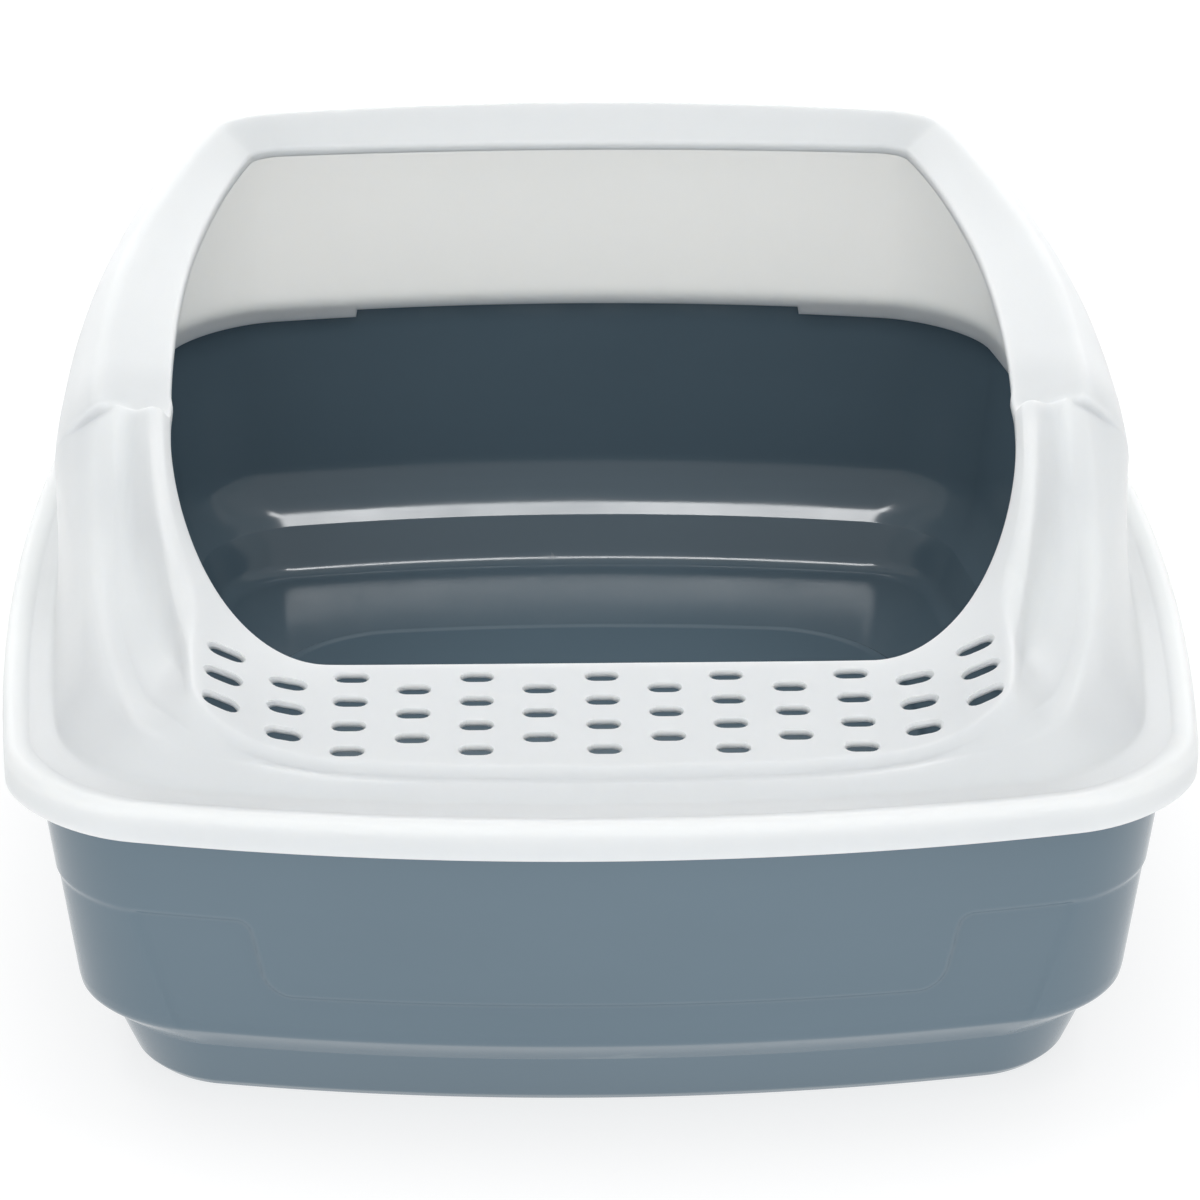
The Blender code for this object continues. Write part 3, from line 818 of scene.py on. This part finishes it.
def add_noise(tree, place, scale, detail, stretch=(1, 1, 1)):
    """A noise in the object's own space, squeezed or stretched along each axis."""
    mapping = tree.nodes.new("ShaderNodeMapping")
    mapping.inputs["Scale"].default_value = stretch
    noise = tree.nodes.new("ShaderNodeTexNoise")
    noise.inputs["Scale"].default_value = scale
    noise.inputs["Detail"].default_value = detail
    tree.links.new(place.outputs["Object"], mapping.inputs["Vector"])
    tree.links.new(mapping.outputs["Vector"], noise.inputs["Vector"])
    return noise.outputs["Fac"]


def add_range(tree, source, before, after):
    """The source's values between the two numbers of before, spread between the two of after."""
    spread = tree.nodes.new("ShaderNodeMapRange")
    spread.inputs["From Min"].default_value, spread.inputs["From Max"].default_value = before
    spread.inputs["To Min"].default_value, spread.inputs["To Max"].default_value = after
    tree.links.new(source, spread.inputs["Value"])
    return spread.outputs["Result"]


def add_math(tree, operation, a, b):
    """The result of a sum or a product of two sockets."""
    node = tree.nodes.new("ShaderNodeMath")
    node.operation = operation
    tree.links.new(a, node.inputs[0])
    tree.links.new(b, node.inputs[1])
    return node.outputs["Value"]


def add_wear(tree, place):
    """Patchy wear on the outer edges, from 0 to 1."""
    shape = tree.nodes.new("ShaderNodeNewGeometry")
    edge = add_range(tree, shape.outputs["Pointiness"], (0.515, 0.6), (0, 1))
    patchy = add_range(tree, add_noise(tree, place, PATCH_SCALE, 5), (0.35, 0.65), (0.25, 0.6))
    return add_math(tree, "MULTIPLY", edge, patchy)


def add_colour(tree, place, wear, colour, worn, tint):
    """The plastic's colour with faint flow marks, mixed with the worn colour."""
    flow = add_noise(tree, place, FLOW_SCALE, 4, (1, 1, 2.5))
    shade = tree.nodes.new("ShaderNodeValToRGB")
    shade.color_ramp.elements[0].position = 0.3
    shade.color_ramp.elements[1].position = 0.7
    shade.color_ramp.elements[0].color = (*(c * (1 - tint) for c in colour), 1)
    shade.color_ramp.elements[1].color = (*(c * (1 + tint) for c in colour), 1)
    tree.links.new(flow, shade.inputs["Fac"])
    mix = tree.nodes.new("ShaderNodeMix")
    mix.data_type = "RGBA"
    mix.inputs["B"].default_value = (*worn, 1)
    tree.links.new(wear, mix.inputs["Factor"])
    tree.links.new(shade.outputs["Color"], mix.inputs["A"])
    return mix.outputs["Result"]


def add_roughness(tree, place, wear, roughness):
    """An uneven gloss with fine scuffs, duller where the plastic is worn."""
    smoothest, roughest = roughness - 0.03, roughness + 0.04
    gloss = add_range(tree, add_noise(tree, place, GLOSS_SCALE, 5), (0.3, 0.7), (smoothest, roughest))
    scuffs = add_range(tree, add_noise(tree, place, SCUFF_SCALE, 8, (1, 0.15, 1)), (0.62, 0.78), (0, 0.12))
    dulled = add_math(tree, "ADD", gloss, scuffs)
    worn = add_range(tree, wear, (0, 1), (0, 0.3))
    return add_math(tree, "ADD", dulled, worn)


def add_orange_peel(tree, place):
    """The fine grain of moulded plastic, as a normal."""
    bump = tree.nodes.new("ShaderNodeBump")
    bump.inputs["Strength"].default_value = 0.06
    bump.inputs["Distance"].default_value = GRAIN_HEIGHT
    tree.links.new(add_noise(tree, place, GRAIN_SCALE, 2), bump.inputs["Height"])
    return bump.outputs["Normal"]


def moulded_plastic(name, colour, worn, roughness, tint, glow):
    """Moulded plastic with flow marks, scuffs, orange peel and paler, duller edges.

    The tint is how strong the flow marks are, and the glow is how much light goes through the plastic.
    """
    material = bpy.data.materials.new(name)
    material.use_nodes = True
    tree = material.node_tree
    shader = tree.nodes["Principled BSDF"]
    place = tree.nodes.new("ShaderNodeTexCoord")
    wear = add_wear(tree, place)
    tree.links.new(add_colour(tree, place, wear, colour, worn, tint), shader.inputs["Base Color"])
    tree.links.new(add_roughness(tree, place, wear, roughness), shader.inputs["Roughness"])
    tree.links.new(add_orange_peel(tree, place), shader.inputs["Normal"])
    shader.inputs["IOR"].default_value = 1.5
    shader.inputs["Subsurface Weight"].default_value = glow
    shader.inputs["Subsurface Radius"].default_value = (1, 0.96, 0.9)
    shader.inputs["Subsurface Scale"].default_value = 0.008
    return material


def hood_plastic():
    """White, satin plastic that lets some light through."""
    white, worn = (0.77, 0.795, 0.79), (0.82, 0.83, 0.82)
    return moulded_plastic("hood_plastic", white, worn, roughness=0.4, tint=0.01, glow=1.0)


def tray_plastic():
    """Grey-blue, glossy plastic."""
    blue, worn = (0.104, 0.152, 0.19), (0.2, 0.25, 0.28)
    return moulded_plastic("tray_plastic", blue, worn, roughness=0.14, tint=0.035, glow=0)


def make_floor():
    """White floor that glows a little, as wide as the picture needs."""
    half = 30
    corners = [(-half, -half, 0), (half, -half, 0), (half, half, 0), (-half, half, 0)]
    mesh = bpy.data.meshes.new("floor")
    mesh.from_pydata(corners, [], [(0, 1, 2, 3)])
    floor = bpy.data.objects.new("floor", mesh)
    bpy.context.scene.collection.objects.link(floor)
    material = bpy.data.materials.new("floor_paper")
    material.use_nodes = True
    shader = material.node_tree.nodes["Principled BSDF"]
    shader.inputs["Base Color"].default_value = (0.35, 0.35, 0.35, 1)
    shader.inputs["Emission Color"].default_value = (1, 1, 1, 1)
    shader.inputs["Emission Strength"].default_value = FLOOR_GLOW
    shader.inputs["Roughness"].default_value = 0.9
    shader.inputs["Specular IOR Level"].default_value = 0.1
    mesh.materials.append(material)


def direction_to(place, aim):
    """Rotation of a light at place that points at aim."""
    offset = np.array(aim) - np.array(place)
    flat = math.hypot(offset[0], offset[1])
    return (math.atan2(flat, -offset[2]), 0, math.atan2(-offset[0], offset[1]) if flat > 1e-6 else 0)


def add_area(name, place, aim, size, watts):
    """A rectangular light at place that points at aim."""
    light = bpy.data.lights.new(name, "AREA")
    light.shape = "RECTANGLE"
    light.size, light.size_y = size
    light.energy = watts
    lamp = bpy.data.objects.new(name, light)
    bpy.context.scene.collection.objects.link(lamp)
    lamp.location = place
    lamp.rotation_euler = direction_to(place, aim)
    return lamp


def make_light(tray):
    """White studio: light from all round, a scrim overhead, a low fill in front and a backdrop behind.

    A card overhead makes the bright streak on the ledge inside the tray, and lights nothing else.
    """
    world = bpy.data.worlds.new("studio")
    world.use_nodes = True
    background = world.node_tree.nodes["Background"]
    background.inputs["Color"].default_value = (1, 1, 1, 1)
    background.inputs["Strength"].default_value = WORLD_STRENGTH
    bpy.context.scene.world = world
    scrim = add_area("scrim", place=(0, -0.05, 1.4), aim=(0, 0.05, 0), size=(1.7, 1), watts=SCRIM_WATTS)
    fill = add_area("fill", place=(0, -1.6, 0.35), aim=(0, 0, 0.1), size=(2.4, 0.7), watts=FILL_WATTS)
    add_area("backdrop", place=(0, 1.7, 0.6), aim=(0, 0.2, 0.13), size=(2.6, 1.2), watts=BACKDROP_WATTS)
    scrim.visible_glossy = False
    fill.visible_glossy = False
    card = add_area("card", place=(0, -0.19, 1.3), aim=(0, 0.2, 0.03), size=(0.8, 0.16), watts=CARD_WATTS)
    card.visible_diffuse = False
    shown = bpy.data.collections.new("card_shines_on")
    shown.objects.link(tray)
    card.light_linking.receiver_collection = shown


def make_camera():
    """The photo's camera: it looks down at the entry, a little from one side."""
    distance = 1.20722
    elevation = math.radians(21.63)
    azimuth = math.radians(-1.29)
    aim_z = 0.06755
    x = 0.00333
    y = -distance * math.cos(elevation)
    camera = bpy.data.objects.new("camera", bpy.data.cameras.new("camera"))
    camera.location = (
        x * math.cos(azimuth) - y * math.sin(azimuth),
        x * math.sin(azimuth) + y * math.cos(azimuth),
        aim_z + distance * math.sin(elevation),
    )
    camera.rotation_euler = (math.pi / 2 - elevation, 0, azimuth)
    camera.data.sensor_width = 36
    camera.data.lens = 113.8
    bpy.context.scene.collection.objects.link(camera)
    bpy.context.scene.camera = camera


make_camera()
hood = make_hood(hood_plastic())
tray = make_tray(tray_plastic())
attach(hood, "hood")
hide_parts("hood")
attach(tray, "tray")
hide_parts("tray")
make_floor()
make_light(tray)
bpy.context.scene.view_settings.view_transform = "Standard"
